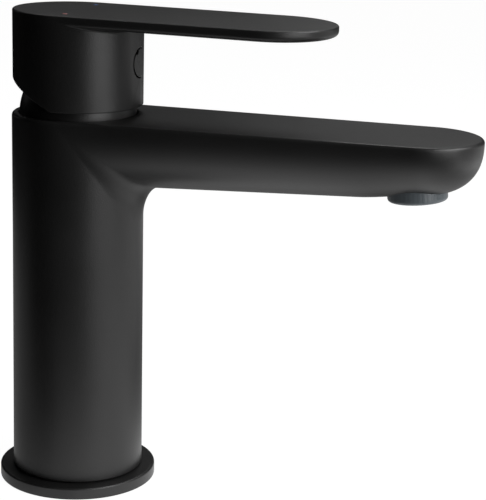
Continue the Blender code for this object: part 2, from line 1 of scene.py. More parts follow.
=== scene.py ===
"""Looks of the single-lever basin mixer tap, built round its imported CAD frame.

Metres, +Z up, +X along the spout, -Y the hot side. Every visible outer piece is rebuilt here at a
fine resolution from the same sizes as the CAD solid that it stands for; the pieces inside the tap
are the CAD nodes themselves, with procedural materials.
"""
import json
import math

import bmesh
import bpy
from mathutils import Matrix, Vector


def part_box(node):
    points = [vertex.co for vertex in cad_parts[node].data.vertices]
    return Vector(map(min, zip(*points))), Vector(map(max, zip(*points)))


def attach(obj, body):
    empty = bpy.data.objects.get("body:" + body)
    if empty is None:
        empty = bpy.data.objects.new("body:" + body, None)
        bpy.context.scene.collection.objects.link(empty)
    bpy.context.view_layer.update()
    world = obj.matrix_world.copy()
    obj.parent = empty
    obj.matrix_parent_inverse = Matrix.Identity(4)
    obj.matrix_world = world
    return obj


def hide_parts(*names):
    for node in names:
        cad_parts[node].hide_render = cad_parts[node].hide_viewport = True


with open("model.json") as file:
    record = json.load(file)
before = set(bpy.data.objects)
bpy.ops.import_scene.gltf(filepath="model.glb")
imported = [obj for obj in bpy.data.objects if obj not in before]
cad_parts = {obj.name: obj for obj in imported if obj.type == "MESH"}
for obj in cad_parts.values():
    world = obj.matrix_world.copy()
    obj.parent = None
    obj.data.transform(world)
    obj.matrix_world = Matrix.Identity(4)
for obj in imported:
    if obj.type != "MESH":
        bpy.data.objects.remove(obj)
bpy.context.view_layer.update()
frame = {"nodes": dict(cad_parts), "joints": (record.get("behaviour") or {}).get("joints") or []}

# ---------------------------------------------------------------- sizes shared with the CAD solids
GAP = 0.0003                    # clearance between two pieces that touch
FINE, MEDIUM, COARSE = 160, 96, 48  # sides of a turned piece, by size
CREASE = math.radians(40.0)     # faces that meet at more than this keep a crease

BODY_R, FOOT_R = 0.0225, 0.0228
BODY_TOP = 0.1307
SPOUT_REACH, SPOUT_END_R = 0.1183, 0.0201
SPOUT_SLOPE = 0.0019
SPOUT_FULLNESS, SPOUT_TIP_FULLNESS = 2.0, 2.55  # 2 is an ellipse, more is squarer
SPOUT_EDGE_R = 0.0012
SPOUT_FILLET = (0.0077, 0.0141)     # along the spout, down the column below its middle
FILLET_EASE = 0.5               # how much less it reaches down at the spout's sides
KEEL_Z, KEEL_SLOPE = 0.1057, 0.0403
KEEL_RISE, KEEL_RISE_FROM, KEEL_RISE_TO = 0.0016, 0.0986, 0.1222

HUB_R, HUB_BOTTOM = 0.0221, 0.1337
LEVER_TOP, LEVER_SLOPE = 0.1654, -0.0102
LEVER_REACH = 0.0669
LEVER_EDGE, LEVER_EDGE_R = 0.0044, 0.0006
LEVER_FULLNESS = 5.0
LEVER_FILLET = (0.0016, 0.0016)
RELIEF_X, RELIEF_ANGLE = -0.0015, math.radians(26.0)
PLUG_Z, PLUG_R = 0.1487, 0.0049
DOT_X, DOT_Y, DOT_R = 0.0008, 0.0144, 0.0009

DOME_R = 0.0199
COVER_SEAT_Z = 0.1249           # the ball cover's seat in the body
CAVITY_R, CAVITY_TOP = 0.0196, 0.074    # open hollow for the hoses and the stud
CHAMBER_FLOOR, CHAMBER_R = 0.092, 0.0178
LEDGE_Z, NUT_BORE_R = 0.1165, 0.0189    # the chamber widens here for the cartridge's nut
PORT_X, PORT_Y = 0.006, 0.0063  # the two inlets in the chamber's floor
AERATOR_AT = Vector((0.1179, 0.0, 0.1099))
AERATOR_TILT = math.radians(5.0)
AERATOR_R = 0.0099

# what the frame says itself
joint_points = {joint["name"]: joint.get("pos_m") for joint in frame["joints"]}
PIVOT = Vector(joint_points["lever_lift"])
flange_low, flange_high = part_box("base_flange")
FLANGE_R, FLANGE_H = flange_high.x, flange_high.z
REST_TILT = math.radians(12.5)
SPINDLE_UP, SPINDLE_HALF = 0.025, 0.0035    # length above the pivot and half its square
SCREW_BORE_R, SCREW_END = 0.0025, 0.0182    # clamping screw's bore, which ends at the cap's recess

ALONG_X = (0, math.pi / 2, 0)
UPRIGHT = (0, 0, 0)


# ---------------------------------------------------------------- node graphs
class Graph:
    """A material's node tree with short calls for what the finishes share."""

    def __init__(self, name):
        self.made = bpy.data.materials.new(name)
        self.made.use_nodes = True
        self.tree = self.made.node_tree
        self.shader = self.tree.nodes["Principled BSDF"]
        self.place = self.node("ShaderNodeTexCoord").outputs["Object"]

    def node(self, kind, **values):
        made = self.tree.nodes.new(kind)
        for name, value in values.items():
            if hasattr(made, name):
                setattr(made, name, value)
            else:
                made.inputs[name.replace("_", " ").title()].default_value = value
        return made

    def link(self, source, target):
        self.tree.links.new(source, target)

    def noise(self, per_metre, detail=2.0, roughness=0.5, place=None):
        """Smooth noise with that many features to the metre."""
        made = self.node("ShaderNodeTexNoise", scale=per_metre, detail=detail, roughness=roughness)
        self.link(place or self.place, made.inputs["Vector"])
        return made.outputs["Fac"]

    def cells(self, per_metre):
        """Distance to the nearest of many scattered points."""
        made = self.node("ShaderNodeTexVoronoi", scale=per_metre)
        self.link(self.place, made.inputs["Vector"])
        return made.outputs["Distance"]

    def span(self, value, low, high, out_low, out_high):
        """value rescaled from low..high to out_low..out_high, held at the ends."""
        made = self.node("ShaderNodeMapRange")
        limits = {"From Min": low, "From Max": high, "To Min": out_low, "To Max": out_high}
        for name, number in limits.items():
            made.inputs[name].default_value = number
        self.link(value, made.inputs["Value"])
        return made.outputs["Result"]

    def maths(self, operation, first, second):
        made = self.node("ShaderNodeMath", operation=operation)
        for socket, value in zip(made.inputs, (first, second)):
            if isinstance(value, (int, float)):
                socket.default_value = value
            else:
                self.link(value, socket)
        return made.outputs["Value"]

    def blend(self, share, first, second):
        """A colour that runs from first to second with share."""
        made = self.node("ShaderNodeMix", data_type="RGBA")
        self.link(share, made.inputs["Factor"])
        for socket, colour in ((made.inputs[6], first), (made.inputs[7], second)):
            if isinstance(colour, tuple):
                socket.default_value = (*colour, 1.0)
            else:
                self.link(colour, socket)
        return made.outputs[2]

    def stretched(self, x, y, z):
        """Object coordinates scaled along each axis, for grain that runs one way."""
        made = self.node("ShaderNodeMapping")
        made.inputs["Scale"].default_value = (x, y, z)
        self.link(self.place, made.inputs["Vector"])
        return made.outputs["Vector"]

    def edges(self, radius):
        """0 on open faces, rising to 1 within radius of an edge."""
        rounded = self.node("ShaderNodeBevel", samples=4, radius=radius)
        plain = self.node("ShaderNodeNewGeometry")
        facing = self.node("ShaderNodeVectorMath", operation="DOT_PRODUCT")
        self.link(rounded.outputs["Normal"], facing.inputs[0])
        self.link(plain.outputs["Normal"], facing.inputs[1])
        return self.span(facing.outputs["Value"], 1.0, 0.8, 0.0, 1.0)

    def bump(self, *layers, soften=0.0):
        """Stacks (height, depth in metres) layers of relief, over edges rounded by soften."""
        under = None
        if soften:
            under = self.node("ShaderNodeBevel", samples=4, radius=soften).outputs["Normal"]
        for height, depth in layers:
            made = self.node("ShaderNodeBump", strength=1.0, distance=depth)
            self.link(height, made.inputs["Height"])
            if under:
                self.link(under, made.inputs["Normal"])
            under = made.outputs["Normal"]
        self.link(under, self.shader.inputs["Normal"])

    def set(self, **values):
        """Sets or links the shader's sockets, named in lower case."""
        for name, value in values.items():
            socket = self.shader.inputs[name.replace("_", " ").title().replace("Ior", "IOR")]
            if isinstance(value, bpy.types.NodeSocket):
                self.link(value, socket)
            else:
                socket.default_value = (*value, 1.0) if isinstance(value, tuple) else value
        return self


def matt_black():
    """Fine-textured matt coating, a little smoother over edges, where a painted highlight also lightens its
    colour.
    """
    g = Graph("matt_black_coating")
    grain = g.noise(2600, 3.0, 0.6)
    dimples = g.cells(1900)
    drift = g.noise(38, 2.0)
    # edges within 0.7 mm: a painted highlight in the colour, and a little lower roughness
    edge_highlight_and_smoothing = g.edges(0.0007)
    colour = g.blend(g.span(drift, 0.3, 0.7, 0.0, 1.0), (0.0095, 0.0094, 0.0093), (0.0128, 0.0127, 0.0127))
    # painted highlight: the colour lightens towards the edges
    colour = g.blend(g.maths("MULTIPLY", edge_highlight_and_smoothing, 0.5), colour, (0.026, 0.026, 0.027))
    rough = g.maths("ADD", g.span(grain, 0.2, 0.8, 0.35, 0.43), g.span(drift, 0.3, 0.7, -0.015, 0.015))
    rough = g.maths("SUBTRACT", rough, g.maths("MULTIPLY", edge_highlight_and_smoothing, 0.06))
    g.bump((grain, 0.000022), (dimples, 0.000012), soften=0.00022)
    return g.set(base_color=colour, roughness=rough, specular_ior_level=0.5).made


def rubber():
    g = Graph("moulded_rubber")
    grain = g.noise(1800, 3.0)
    bloom = g.noise(120, 2.0)
    colour = g.blend(g.span(bloom, 0.35, 0.7, 0.0, 1.0), (0.014, 0.014, 0.015), (0.026, 0.026, 0.027))
    g.bump((grain, 0.00002))
    rough = g.span(grain, 0.3, 0.7, 0.72, 0.86)
    return g.set(base_color=colour, roughness=rough, specular_ior_level=0.35).made


def moulded(name, light, dark, low, high):
    """Satin moulded plastic with faint flow marks and a fine spark-eroded grain."""
    g = Graph(name)
    grain = g.noise(2400, 2.0)
    flow = g.noise(60, 3.0, place=g.stretched(1.0, 1.0, 0.25))
    edge = g.edges(0.0004)
    colour = g.blend(g.span(flow, 0.3, 0.7, 0.0, 1.0), dark, light)
    colour = g.blend(g.maths("MULTIPLY", edge, 0.3), colour, tuple(min(1.0, c * 1.35) for c in light))
    g.bump((grain, 0.000012), (flow, 0.00004), soften=0.00012)
    return g.set(base_color=colour, roughness=g.span(grain, 0.25, 0.75, low, high)).made


def ceramic():
    g = Graph("lapped_ceramic")
    speck = g.noise(3200, 1.0)
    cloud = g.noise(90, 2.0)
    colour = g.blend(g.span(speck, 0.55, 0.75, 0.0, 1.0), (0.80, 0.79, 0.75), (0.62, 0.60, 0.55))
    colour = g.blend(g.span(cloud, 0.3, 0.7, 0.0, 0.4), colour, (0.88, 0.87, 0.83))
    g.bump((speck, 0.000004))
    return g.set(base_color=colour, roughness=g.span(cloud, 0.3, 0.7, 0.14, 0.24)).made


def machined(name, light, dark, low, high):
    """Turned metal: fine rings round the Z axis, with stains and brighter edges."""
    g = Graph(name)
    wave = g.node("ShaderNodeTexWave", wave_type="RINGS", rings_direction="Z", scale=900.0, distortion=0.6)
    g.link(g.place, wave.inputs["Vector"])
    rings = wave.outputs["Fac"]
    stain = g.noise(140, 3.0)
    edge = g.edges(0.0004)
    colour = g.blend(g.span(stain, 0.3, 0.7, 0.0, 1.0), dark, light)
    colour = g.blend(g.maths("MULTIPLY", edge, 0.5), colour, tuple(min(1.0, c * 1.2) for c in light))
    rough = g.maths("ADD", g.span(rings, 0.0, 1.0, low, high), g.span(stain, 0.3, 0.7, -0.04, 0.04))
    g.bump((rings, 0.000006), soften=0.0001)
    return g.set(base_color=colour, roughness=rough, metallic=1.0).made


def woven_steel():
    """Fine wire cloth for the screen behind the jets."""
    g = Graph("wire_cloth")
    waves = []
    for direction in ("X", "Y"):
        wave = g.node("ShaderNodeTexWave", wave_type="BANDS", bands_direction=direction, scale=700.0)
        g.link(g.place, wave.inputs["Vector"])
        waves.append(wave.outputs["Fac"])
    mesh = g.maths("MULTIPLY", *waves)
    colour = g.blend(mesh, (0.10, 0.10, 0.11), (0.55, 0.55, 0.57))
    g.bump((mesh, 0.00004))
    return g.set(base_color=colour, roughness=g.span(mesh, 0.0, 1.0, 0.6, 0.3), metallic=1.0).made


def enamel(name, light, dark):
    """Filled enamel with a slightly uneven skin."""
    g = Graph(name)
    skin = g.noise(1600, 2.0)
    colour = g.blend(g.span(skin, 0.3, 0.7, 0.0, 1.0), dark, light)
    g.bump((skin, 0.00001))
    return g.set(base_color=colour, roughness=g.span(skin, 0.3, 0.7, 0.3, 0.42)).made


# ---------------------------------------------------------------- mesh helpers
def make(name, bm, finish=None, at=(0, 0, 0), turn=UPRIGHT):
    """An object from bm with smooth faces and creases."""
    bmesh.ops.remove_doubles(bm, verts=bm.verts, dist=1e-6)
    bmesh.ops.recalc_face_normals(bm, faces=bm.faces)
    mesh = bpy.data.meshes.new(name)
    bm.to_mesh(mesh)
    bm.free()
    made = bpy.data.objects.new(name, mesh)
    bpy.context.scene.collection.objects.link(made)
    made.location = at
    made.rotation_euler = turn
    if finish:
        mesh.materials.append(finish)
    mesh.shade_smooth()
    mesh.set_sharp_from_angle(angle=CREASE)
    return made


def cut(target, tools):
    """Cuts the tools away from the target. A tool given as ("INTERSECT", tool) keeps what they share."""
    removed = []
    for tool in tools:
        operation, tool = tool if isinstance(tool, tuple) else ("DIFFERENCE", tool)
        modifier = target.modifiers.new("cut", "BOOLEAN")
        modifier.operation = operation
        modifier.solver = "EXACT"
        modifier.object = tool
        removed.append(tool)
    bpy.context.view_layer.update()
    evaluated = target.evaluated_get(bpy.context.evaluated_depsgraph_get())
    mesh = bpy.data.meshes.new_from_object(evaluated)
    mesh.name = target.name
    target.modifiers.clear()
    target.data = mesh
    mesh.shade_smooth()
    mesh.set_sharp_from_angle(angle=CREASE)
    for tool in removed:
        bpy.data.objects.remove(tool)
    return target


def finished(piece, body, slot, *nodes):
    """Evens the normals, then hangs the piece on its body in place of the CAD nodes."""
    normals = piece.modifiers.new("even_normals", "WEIGHTED_NORMAL")
    normals.keep_sharp = True
    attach(piece, body)
    if nodes:
        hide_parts(*nodes)
    return piece


def arc(centre, radius, start, stop, steps):
    """Points (radius, height) along an arc, with angles in degrees from the outward direction."""
    points = []
    for i in range(steps + 1):
        angle = math.radians(start + (stop - start) * i / steps)
        points.append((centre[0] + radius * math.cos(angle), centre[1] + radius * math.sin(angle)))
    return points


def sheet(bm, rows):
    """Quads between neighbouring rows of points."""
    grid = [[bm.verts.new(point) for point in row] for row in rows]
    for row, following in zip(grid, grid[1:]):
        for i in range(len(row) - 1):
            bm.faces.new((row[i], row[i + 1], following[i + 1], following[i]))


def turned(outline, sides=MEDIUM, swell=None):
    """The closed (radius, height) outline turned about Z. swell(angle, radius) may change a radius."""
    bm = bmesh.new()
    rings = []
    for radius, height in outline:
        if radius == 0:
            rings.append([bm.verts.new((0, 0, height))] * sides)
            continue
        row = []
        for i in range(sides):
            angle = 2 * math.pi * i / sides
            r = swell(angle, radius) if swell else radius
            row.append(bm.verts.new((r * math.cos(angle), r * math.sin(angle), height)))
        rings.append(row)
    for ring, following in zip(rings, rings[1:] + rings[:1]):
        for i in range(sides):
            j = (i + 1) % sides
            corners = dict.fromkeys((ring[i], ring[j], following[j], following[i]))
            if len(corners) > 2:
                bm.faces.new(list(corners))
    return bm


def rod(radius, low, high, sides=COARSE):
    return turned([(0, low), (radius, low), (radius, high), (0, high)], sides)


def block(low, high):
    bm = bmesh.new()
    bmesh.ops.create_cube(bm, size=1.0)
    low, high = Vector(low), Vector(high)
    bmesh.ops.scale(bm, vec=high - low, verts=bm.verts)
    bmesh.ops.translate(bm, vec=(low + high) / 2, verts=bm.verts)
    return bm


def moved(bm, offset):
    bmesh.ops.translate(bm, vec=offset, verts=bm.verts)
    return bm


def merged(*meshes):
    """One mesh that holds several separate closed shapes."""
    bm = bmesh.new()
    for part in meshes:
        scratch = bpy.data.meshes.new("scratch")
        part.to_mesh(scratch)
        part.free()
        bm.from_mesh(scratch)
        bpy.data.meshes.remove(scratch)
    return bm


# ---------------------------------------------------------------- column with an arm
def section_share(turn, fullness):
    """Signed width share and depth share of an arm's rounded underside, turn from 0 to pi."""
    width, depth = math.cos(turn), math.sin(turn)
    return (math.copysign(abs(width) ** (2 / fullness), width), abs(depth) ** (2 / fullness))


def armed_column(column_r, top, slope, reach, end_r, edge_r, keel, fullness, tip_fullness, fillet, below,
                 lines=72, stations=40, bends=16, end_turns=60, back_turns=96, rims=6, flat=0.0004):
    """A round column whose flat top runs out into a round-ended arm along +X.

    slope is the top's rise along +X, from the height top on the axis. The arm's underside is a
    keel line with rounded sections, whose fullness turns into tip_fullness at the arm's tip. A
    fillet of two radii, along the arm and down the column, joins it to the column wall. Its
    reach down the column eases off by the share FILLET_EASE towards the arm's sides. below
    lists the column's lower rings as (radius, height), and the last one is closed. A band of
    width flat inside the rounded rim keeps the top's shading level.
    """
    lean = math.asin((column_r - end_r) / reach)
    out, full_down = fillet

    def shoulder(x):
        return top - edge_r + slope * x

    def depth_at(x):
        return shoulder(x) - keel(x)

    def column_line(angle, start):
        rings = [(column_r, start)] + below
        return [(r * math.cos(angle), r * math.sin(angle), z) for r, z in rings]

    def arm_line(turn):
        """One line of the skin: from the round end to the fillet, round it and down the column."""
        width, depth = section_share(turn, fullness)
        share = abs(width)
        side = Vector((math.sin(lean), math.copysign(math.cos(lean), width)))
        start = side * column_r * share
        step = (Vector((reach, 0)) + side * end_r * share - start) / reach
        down = full_down * (1 - FILLET_EASE * share * share)
        across = share ** (fullness - 1) / column_r
        under = depth ** (fullness - 1) / (depth_at(column_r) * out / down)
        across, under = Vector((across, under)).normalized()
        offset = side * (column_r * share + out * across)
        along = offset.dot(step)
        root = along ** 2 + step.length_squared * ((column_r + out) ** 2 - offset.length_squared)
        contact = (math.sqrt(max(root, 0.0)) - along) / step.length_squared
        points = []
        for i in range(stations + 1):
            at = start + step * (reach + (contact - reach) * i / stations)
            points.append((at.x, at.y, shoulder(at.x) - depth_at(at.x) * depth))
        foot = start + step * contact
        centre = offset + step * contact
        centre_z = shoulder(foot.x) - depth_at(foot.x) * depth - down * under
        wall = centre.normalized()
        first = Vector((-across * side.x, -across * side.y, under))
        last = Vector((-wall.x, -wall.y, 0))
        swing = first.angle(last)
        for i in range(1, bends + 1):
            if swing < 1e-4:
                arm = last
            else:
                share_first = math.sin(swing * (1 - i / bends)) / math.sin(swing)
                share_last = math.sin(swing * i / bends) / math.sin(swing)
                arm = first * share_first + last * share_last
            points.append((centre.x + out * arm.x, centre.y + out * arm.y, centre_z + down * arm.z))
        return points + column_line(math.atan2(wall.y, wall.x), centre_z)[1:]

    def end_ring(turn):
        """The same line carried round the arm's end."""
        points = []
        for i in range(end_turns + 1):
            angle = (math.pi / 2 - lean) * (1 - 2 * i / end_turns)
            tip_share = math.cos(angle) ** 2
            width, depth = section_share(turn, fullness + (tip_fullness - fullness) * tip_share)
            x = reach + end_r * width * math.cos(angle)
            points.append((x, end_r * width * math.sin(angle), shoulder(x) - depth_at(x) * depth))
        return points

    turns = [math.pi * i / lines for i in range(lines + 1)]
    arm = [arm_line(turn) for turn in turns]
    ends = [end_ring(turn) for turn in turns[:lines // 2]]
    ends.append([(reach, 0, keel(reach))] * (end_turns + 1))
    back_angles = [math.pi / 2 - lean + (math.pi + 2 * lean) * i / back_turns for i in range(back_turns + 1)]
    back = [column_line(angle, shoulder(column_r * math.cos(angle))) for angle in back_angles]

    # the outline at the shoulder, anticlockwise from the start of the back, with its outward normals
    outline = [(Vector(p[:2]), Vector(p[:2]).normalized()) for p in (line[0] for line in back)]
    right = Vector((math.sin(lean), -math.cos(lean)))
    left = Vector((math.sin(lean), math.cos(lean)))
    outline += [(Vector(p[:2]), right) for p in reversed(arm[-1][:stations])]
    outline += [(Vector(p[:2]), (Vector(p[:2]) - Vector((reach, 0))).normalized())
                for p in reversed(ends[0][:-1])]
    outline += [(Vector(p[:2]), left) for p in arm[0][1:stations]]
    profile = [(edge_r * (1 - math.cos(math.pi / 2 * i / rims)), edge_r * math.sin(math.pi / 2 * i / rims))
               for i in range(rims + 1)]
    profile.append((edge_r + flat, edge_r))
    rim_rows = []
    for inset, rise in profile:
        edge = [point - normal * inset for point, normal in outline]
        row = [(at.x, at.y, shoulder(at.x) + rise) for at in edge]
        rim_rows.append(row + row[:1])

    bm = bmesh.new()
    sheet(bm, arm)
    sheet(bm, ends)
    sheet(bm, back)
    sheet(bm, rim_rows)
    bm.faces.new([bm.verts.new(point) for point in rim_rows[-1][:-1]])
    bottom = [line[-1] for line in arm] + [line[-1] for line in reversed(back[1:-1])]
    bm.faces.new([bm.verts.new(point) for point in bottom])
    bmesh.ops.remove_doubles(bm, verts=bm.verts, dist=1e-6)
    return bm


def spout_keel(x):
    """Height of the spout's lowest line: a slow rise, then a quicker one under the aerator."""
    share = min(max((x - KEEL_RISE_FROM) / (KEEL_RISE_TO - KEEL_RISE_FROM), 0.0), 1.0)
    return KEEL_Z + KEEL_SLOPE * x + KEEL_RISE * share * share * (3 - 2 * share)


def lever_keel(x):
    return LEVER_TOP - LEVER_EDGE + LEVER_SLOPE * x


def oval_duct(stations, sides=32):
    """A closed duct through (x, centre height, half height, half width) ovals."""
    rows = []
    for x, centre, half_height, half_width in stations:
        angles = [2 * math.pi * i / sides for i in range(sides + 1)]
        rows.append([(x, half_width * math.cos(a), centre + half_height * math.sin(a)) for a in angles])
    bm = bmesh.new()
    sheet(bm, rows)
    for row in (rows[0], rows[-1]):
        bm.faces.new([bm.verts.new(point) for point in row[:-1]])
    bmesh.ops.remove_doubles(bm, verts=bm.verts, dist=1e-6)
    return bm


# ---------------------------------------------------------------- the outer pieces
def cast_skin():
    """The casting's outside: spout, column with its draft, rounded foot and the spigot in the flange."""
    foot, edge, spigot_r, spigot_z = FLANGE_H + GAP, 0.0005, 0.0214, 0.0012
    below = [(BODY_R, 0.100), (BODY_R, 0.088), (0.0226, 0.060), (0.0227, 0.032), (FOOT_R, 0.008)]
    below += arc((FOOT_R - edge, foot + edge), edge, 0, -90, 4)
    below += [(spigot_r, foot), (spigot_r, spigot_z)]
    return armed_column(BODY_R, BODY_TOP, SPOUT_SLOPE, SPOUT_REACH, SPOUT_END_R, SPOUT_EDGE_R, spout_keel,
                        SPOUT_FULLNESS, SPOUT_TIP_FULLNESS, SPOUT_FILLET, below)


def chamber_bore():
    """Stepped bore for the cartridge, its nut and the ball cover, with a rounded mouth."""
    bore_r, lip, above = DOME_R + GAP, 0.0004, 0.135
    mouth = [(bore_r + lip - lip * math.cos(a), BODY_TOP - lip + lip * math.sin(a))
             for a in (math.pi / 2 * i / 4 for i in range(5))]
    steps = [(0, CHAMBER_FLOOR), (CHAMBER_R, CHAMBER_FLOOR), (CHAMBER_R, LEDGE_Z), (NUT_BORE_R, LEDGE_Z),
             (NUT_BORE_R, COVER_SEAT_Z), (bore_r, COVER_SEAT_Z)]
    return turned(steps + mouth + [(bore_r + lip, above), (0, above)], FINE)


def hose_ports():
    """Two threaded hose sockets that narrow to the inlets in the chamber's floor."""
    start, end, mouth_r, inlet_r = CAVITY_TOP - 0.004, CHAMBER_FLOOR + 0.002, 0.0052, 0.0032
    crest_r, root_r, turns, pitch, first = 0.0046, 0.0049, 14, 0.00075, 0.0745
    thread = []
    for i in range(turns):
        thread += [(crest_r, first + i * pitch), (root_r, first + (i + 0.5) * pitch)]
    outline = [(0, start), (mouth_r, start), (mouth_r, CAVITY_TOP + 0.0001)] + thread
    outline += [(crest_r, 0.0851), (inlet_r, 0.0864), (inlet_r, end), (0, end)]
    return [moved(turned(outline, COARSE), (PORT_X, side * PORT_Y, 0)) for side in (-1, 1)]


def build_body(finish):
    """Column and spout in one casting, with its chamber, hose cavity, waterway and outlet seat."""
    body = make("tap_body", cast_skin(), finish)
    low, chamfer = -0.001, 0.004
    cavity = turned([(0, low), (CAVITY_R, low), (CAVITY_R, CAVITY_TOP - chamfer),
                     (CAVITY_R - chamfer, CAVITY_TOP), (0, CAVITY_TOP)], FINE)
    stud_socket = moved(rod(0.0034, CAVITY_TOP - chamfer, 0.086), (-0.010, 0, 0))
    lug_x, lug_y, lug_hole_r, lug_z = -0.0095, 0.009, 0.0018, 0.0894
    lug_holes = [moved(rod(lug_hole_r, lug_z, CHAMBER_FLOOR + 0.002), (lug_x, side * lug_y, 0))
                 for side in (-1, 1)]
    # along the waterway: x, centre height, half height and half width
    duct = oval_duct([(0.015, 0.109, 0.0035, 0.008), (0.024, 0.1105, 0.0038, 0.009),
                      (0.028, 0.1142, 0.0046, 0.0105), (0.036, 0.1186, 0.0076, 0.014),
                      (0.098, 0.1203, 0.0070, 0.015), (0.108, 0.1240, 0.0036, 0.012),
                      (0.128, 0.1246, 0.0032, 0.008)])
    seat_r, seat_low, seat_z, throat_r, throat_end = AERATOR_R + GAP, -0.004, 0.0096, 0.0078, 0.0135
    seat = turned([(0, seat_low), (seat_r, seat_low), (seat_r, seat_z), (throat_r, seat_z),
                   (throat_r, throat_end), (0, throat_end)], MEDIUM)
    cut(body, [make("top_bore", chamber_bore()), make("cavity", cavity),
               make("floor_holes", merged(*hose_ports(), stud_socket, *lug_holes)), make("duct", duct),
               make("seat", seat, None, AERATOR_AT, (0, -AERATOR_TILT, 0))])
    return finished(body, "root", "matt_black", "body_casting")


def build_flange(finish):
    """Cover ring at the foot, with a groove underneath for its gasket."""
    inner, groove_inner, groove_outer, groove_top = 0.0217, 0.0229, 0.0250, 0.0016
    edge, lip, flat = 0.0007, 0.0003, 0.0004
    outline = [(inner + lip, 0), (groove_inner - lip, 0), (groove_inner, lip), (groove_inner, groove_top),
               (groove_outer, groove_top), (groove_outer, lip), (groove_outer + lip, 0)]
    outline += arc((FLANGE_R - lip, lip), lip, -90, 0, 3)
    outline += arc((FLANGE_R - edge, FLANGE_H - edge), edge, 0, 90, 6)
    outline += [(FLANGE_R - edge - flat, FLANGE_H), (inner + lip + flat, FLANGE_H)]
    outline += arc((inner + lip, FLANGE_H - lip), lip, 90, 180, 3)
    outline.append((inner, lip))
    return finished(make("cover_flange", turned(outline, FINE), finish), "root", "matt_black", "base_flange")


def build_dome(finish):
    """The ball-shaped cover that the hub swings round: part of a sphere with a short skirt."""
    lip, skirt_z = math.radians(38.7), COVER_SEAT_Z + GAP
    inner_r = DOME_R - 0.0016
    inner_lip = math.asin(DOME_R * math.sin(lip) / inner_r)
    outer_turns = [lip + (math.pi / 2 - lip) * i / 28 for i in range(29)]
    inner_turns = [math.pi / 2 + (inner_lip - math.pi / 2) * i / 16 for i in range(17)]
    outer = [(DOME_R * math.sin(a), PIVOT.z + DOME_R * math.cos(a)) for a in outer_turns]
    inner = [(inner_r * math.sin(a), PIVOT.z + inner_r * math.cos(a)) for a in inner_turns]
    outline = outer + [(DOME_R, skirt_z), (inner_r, skirt_z)] + inner
    return finished(make("ball_cover", turned(outline, FINE), finish), "root", "matt_black", "dome_cover")


def hub_hollow():
    """Cutting shape of the hub's hollow, which leaves the spindle's socket post and the screw's boss."""
    clear_r, ceiling, low, chamfer = DOME_R + 0.0006, 0.1610, 0.131, 0.001
    flare = 0.0003
    outline = [(0, low), (clear_r + flare, low), (clear_r + flare, HUB_BOTTOM),
               (clear_r, HUB_BOTTOM + flare), (clear_r, ceiling - chamfer), (clear_r - chamfer, ceiling),
               (0, ceiling)]
    hollow = make("hollow", turned(outline, FINE))
    post = make("post", rod(0.0068, 0.0105, 0.034, MEDIUM), None, PIVOT, (0, REST_TILT, 0))
    boss = make("boss", rod(0.0069, 0.002, HUB_R - 0.0006, MEDIUM), None, (0, 0, PLUG_Z), ALONG_X)
    ball = [(clear_r * math.sin(math.pi * i / 32), clear_r * math.cos(math.pi * i / 32)) for i in range(32)]
    dome_space = make("dome_space", turned(ball + [(0, -clear_r)], MEDIUM), None, PIVOT)
    cut(boss, [dome_space])
    return cut(hollow, [post, boss])


def build_lever(finish):
    """Flat handle and hub in one casting, hollow round its spindle socket and screw boss."""
    lip = 0.00025
    below = arc((HUB_R - lip, HUB_BOTTOM + lip), lip, 0, -90, 4)
    skin = armed_column(HUB_R, LEVER_TOP, LEVER_SLOPE, LEVER_REACH, HUB_R, LEVER_EDGE_R, lever_keel,
                        LEVER_FULLNESS, LEVER_FULLNESS, LEVER_FILLET, below,
                        lines=80, stations=24, bends=10, rims=5, flat=0.0005)
    handle = make("lever_and_hub", skin, finish)
    relief = make("relief", block((-0.040, -0.030, -0.020), (0, 0.030, 0)), None,
                  (RELIEF_X, 0, HUB_BOTTOM), (0, RELIEF_ANGLE, 0))
    half, socket_z = SPINDLE_HALF + GAP, 0.009
    socket = make("socket", block((-half, -half, socket_z), (half, half, SPINDLE_UP + GAP)), None,
                  PIVOT, (0, REST_TILT, 0))
    recess_r, inner_end, outer_end = PLUG_R + GAP, 0.005, 0.026
    path = turned([(0, inner_end), (SCREW_BORE_R, inner_end), (SCREW_BORE_R, SCREW_END),
                   (recess_r, SCREW_END), (recess_r, outer_end), (0, outer_end)], MEDIUM)
    screw_path = make("screw_path", path, None, (0, 0, PLUG_Z), ALONG_X)
    well_r, well_floor, well_end = DOT_R + 0.00005, LEVER_TOP - 2 * GAP, LEVER_TOP + 0.001
    wells = [moved(rod(well_r, well_floor, well_end), (DOT_X, side * DOT_Y, 0)) for side in (-1, 1)]
    cut(handle, [hub_hollow(), relief, socket, screw_path, make("wells", merged(*wells))])
    return finished(handle, "lever", "matt_black", "lever_handle")


def build_plug(finish):
    """Cap over the clamping screw: it follows the hub's curve and has a notch to lift it out."""
    edge, cap_r, inner_end, outer_end = 0.0004, PLUG_R - 0.0001, SCREW_END + GAP, 0.024
    outline = [(0, inner_end)] + arc((cap_r - edge, inner_end + edge), edge, -90, 0, 3)
    outline += [(cap_r, outer_end), (0, outer_end)]
    cap = make("screw_cap", turned(outline, MEDIUM), finish, (0, 0, PLUG_Z), ALONG_X)
    shell = make("hub_curve", rod(HUB_R + 0.00005, 0.12, 0.18, 256))
    half, notch_low, notch_turn = 0.0009, PLUG_R - 0.0009, math.radians(35)
    notch_block = block((0.0205, -half, notch_low), (0.026, half, 0.008))
    notch = make("notch", notch_block, None, (0, 0, PLUG_Z), (notch_turn, 0, 0))
    cut(cap, [("INTERSECT", shell), notch])
    return finished(cap, "lever", "matt_black", "plug_cap")


